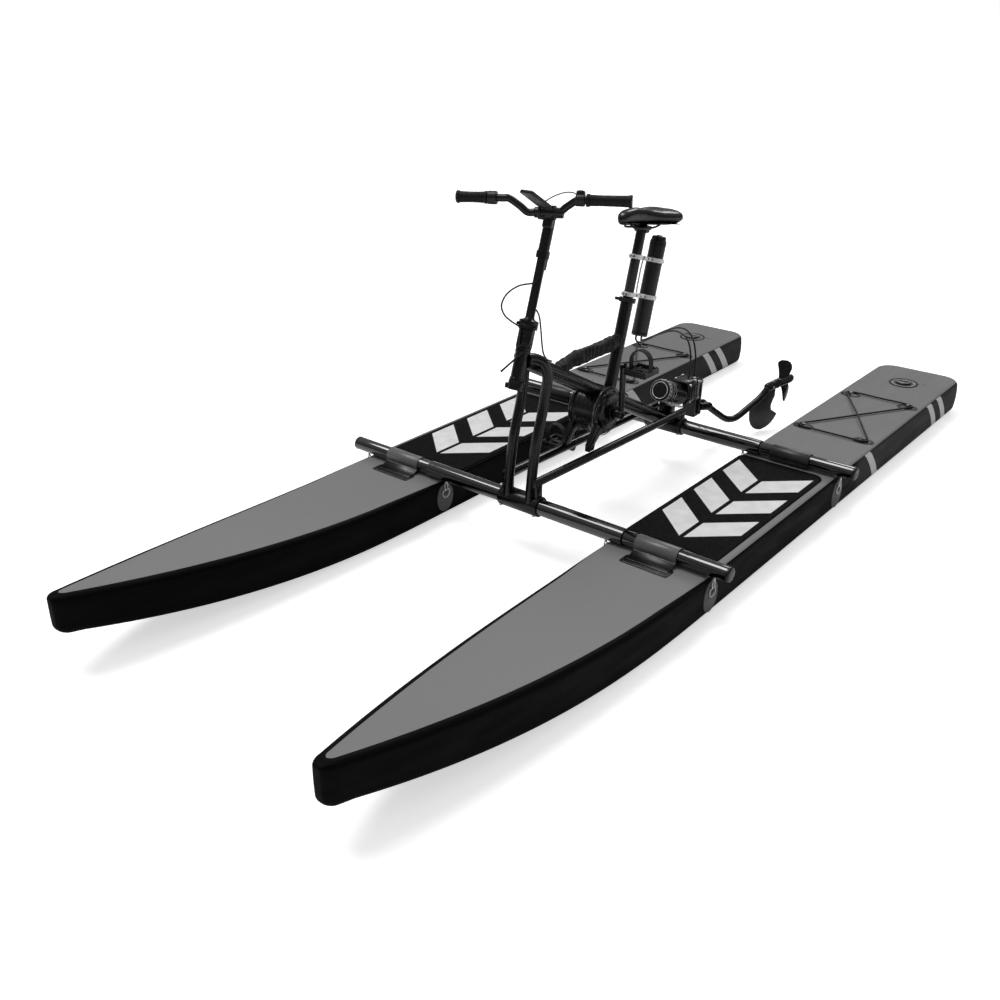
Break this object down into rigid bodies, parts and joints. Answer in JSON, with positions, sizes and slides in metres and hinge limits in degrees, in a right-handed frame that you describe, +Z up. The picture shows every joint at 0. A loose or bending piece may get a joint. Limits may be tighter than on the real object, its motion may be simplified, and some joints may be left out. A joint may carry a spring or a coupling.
{
  "type": "pontoon water bike",
  "caption": "Pedal and motor water bike: folding handlebar mast, sliding seat post and swinging propeller leg on a tube frame across inflatable side hulls.",
  "frame": {"origin": "centre of the bounding box's bottom face, on the ground between the two hulls", "axes": "+X to the rider's left, +Y aft along the hulls, +Z up"},
  "size_m": [1.524, 3.574, 1.1612],
  "materials": {
    "pvc": "coated grey dropstitch fabric, satin",
    "pad_foam": "black grooved foam",
    "black_plastic": "black moulded plastic",
    "grip_rubber": "black rubber",
    "frame_black": "black powder coat",
    "alloy": "brushed alloy",
    "webbing": "dark grey reinforced webbing",
    "cord": "black sheath",
    "sleeve_cloth": "black woven sleeve",
    "saddle_skin": "black soft saddle cover",
    "screw_black": "black glossy plastic",
    "fin_grey": "dark grey plastic"
  },
  "bodies": {
    "platform": {"hull_left": "pvc", "hull_right": "pvc", "deck_pad_left": "pad_foam", "deck_pad_right": "pad_foam", "bungee_left": "cord", "bungee_right": "cord", "front_bar_core": "frame_black", "rear_bar_core": "frame_black", "front_bar_left": "frame_black", "front_bar_right": "frame_black", "rear_bar_left": "frame_black", "rear_bar_right": "frame_black", "front_strap_left": "webbing", "front_strap_right": "webbing", "rear_strap_left": "webbing", "rear_strap_right": "webbing", "front_clamp": "frame_black", "rear_clamp": "frame_black", "rail_left": "frame_black", "rail_right": "frame_black", "front_post_left": "frame_black", "front_post_right": "frame_black", "main_beam": "frame_black", "head_tube": "frame_black", "seat_tube": "frame_black", "frame_sleeve": "sleeve_cloth", "gear_drum": "black_plastic", "motor": "black_plastic", "swivel_bracket": "alloy", "drive_lead_left": "cord", "drive_lead_right": "cord", "cable_rear": "cord"},
    "left_valve": {"valve_cap_left": "black_plastic"},
    "right_valve": {"valve_cap_right": "black_plastic"},
    "steering": {"steerer": "frame_black", "cable_loop": "cord"},
    "hinge_lever": {"fold_lever": "alloy"},
    "folding_mast": {"mast": "frame_black"},
    "height_lever": {"mast_lever": "black_plastic"},
    "bar_set": {"stem": "frame_black", "handlebar": "frame_black", "grip_left": "grip_rubber", "grip_right": "grip_rubber", "switch_box": "black_plastic", "display": "black_plastic"},
    "thumb_throttle": {"throttle": "black_plastic"},
    "cranks": {"crank_left": "frame_black", "crank_right": "frame_black"},
    "left_pedal": {"pedal_left": "black_plastic"},
    "right_pedal": {"pedal_right": "black_plastic"},
    "seat_set": {"seat_post": "frame_black", "saddle": "saddle_skin", "battery": "black_plastic", "battery_clamp_upper": "alloy", "battery_clamp_lower": "alloy"},
    "seat_quick_lever": {"seat_lever": "alloy"},
    "leg_head": {"swivel_head": "frame_black"},
    "tilting_leg": {"drive_leg": "frame_black", "fin": "fin_grey"},
    "screw": {"propeller": "screw_black"}
  },
  "joints": [
    {"name": "steering_turn", "type": "hinge", "parent": "platform", "child": "steering", "pos_m": [0, -0.47, 0.591], "axis": [0, 0.309, 0.9511], "range_deg": [-54, 6]},
    {"name": "hinge_lever_swing", "type": "hinge", "parent": "steering", "child": "hinge_lever", "pos_m": [0.02966, -0.45383, 0.6972], "axis": [-0.4067, 0.8688, -0.2823], "range_deg": [0, 60]},
    {"name": "mast_fold", "type": "hinge", "parent": "steering", "child": "folding_mast", "pos_m": [-0.02741, -0.42876, 0.7574], "axis": [0.4067, -0.8688, 0.2823], "range_deg": [0, 90], "deforming": ["cable_loop"]},
    {"name": "height_lever_swing", "type": "hinge", "parent": "bar_set", "child": "height_lever", "pos_m": [-0.00096, -0.32582, 0.94581], "axis": [0.9135, 0.3868, -0.1257], "range_deg": [0, 110]},
    {"name": "bar_height_slide", "type": "slide", "parent": "folding_mast", "child": "bar_set", "axis": [0, 0.309, 0.9511], "range_m": [-0.03, 0.04]},
    {"name": "throttle_push", "type": "hinge", "parent": "bar_set", "child": "thumb_throttle", "pos_m": [-0.1399, -0.41855, 1.11386], "axis": [-0.9033, -0.4287, -0.0179], "range_deg": [0, 30], "stiffness_Nm_per_rad": 0.3},
    {"name": "crank_spin", "type": "hinge", "parent": "platform", "child": "cranks", "pos_m": [0, -0.02, 0.366], "axis": [1, 0, 0], "continuous": true},
    {"name": "left_pedal_spin", "type": "hinge", "parent": "cranks", "child": "left_pedal", "pos_m": [0.167, -0.02, 0.538], "axis": [1, 0, 0], "continuous": true},
    {"name": "right_pedal_spin", "type": "hinge", "parent": "cranks", "child": "right_pedal", "pos_m": [-0.167, -0.02, 0.194], "axis": [1, 0, 0], "continuous": true},
    {"name": "seat_height_slide", "type": "slide", "parent": "platform", "child": "seat_set", "axis": [0, 0.2672, 0.9636], "range_m": [0, 0.1], "deforming": ["drive_lead_left", "drive_lead_right"]},
    {"name": "seat_lever_swing", "type": "hinge", "parent": "platform", "child": "seat_quick_lever", "pos_m": [-0.0158, 0.09765, 0.72613], "axis": [0, -0.2672, -0.9636], "range_deg": [0, 110]},
    {"name": "left_valve_turn", "type": "hinge", "parent": "platform", "child": "left_valve", "pos_m": [0.52, 1.575, 0.15], "axis": [0, 0, 1], "range_deg": [0, 90]},
    {"name": "right_valve_turn", "type": "hinge", "parent": "platform", "child": "right_valve", "pos_m": [-0.52, 1.575, 0.15], "axis": [0, 0, 1], "range_deg": [0, 90]},
    {"name": "leg_swing", "type": "hinge", "parent": "platform", "child": "leg_head", "pos_m": [0, 0.68, 0.2], "axis": [0, 0, 1], "range_deg": [-6, 54]},
    {"name": "leg_tilt", "type": "hinge", "parent": "leg_head", "child": "tilting_leg", "pos_m": [0.02278, 0.73116, 0.166], "axis": [0.9135, -0.4067, 0], "range_deg": [-26, 40]},
    {"name": "propeller_spin", "type": "hinge", "parent": "tilting_leg", "child": "screw", "pos_m": [0.18344, 1.09201, 0.207], "axis": [0.3978, 0.8936, 0.2079], "continuous": true}
  ],
  "couplings": [
    {"joint": "leg_swing", "follows": "steering_turn", "ratio": -1},
    {"joint": "propeller_spin", "follows": "crank_spin", "ratio": 8}
  ]
}
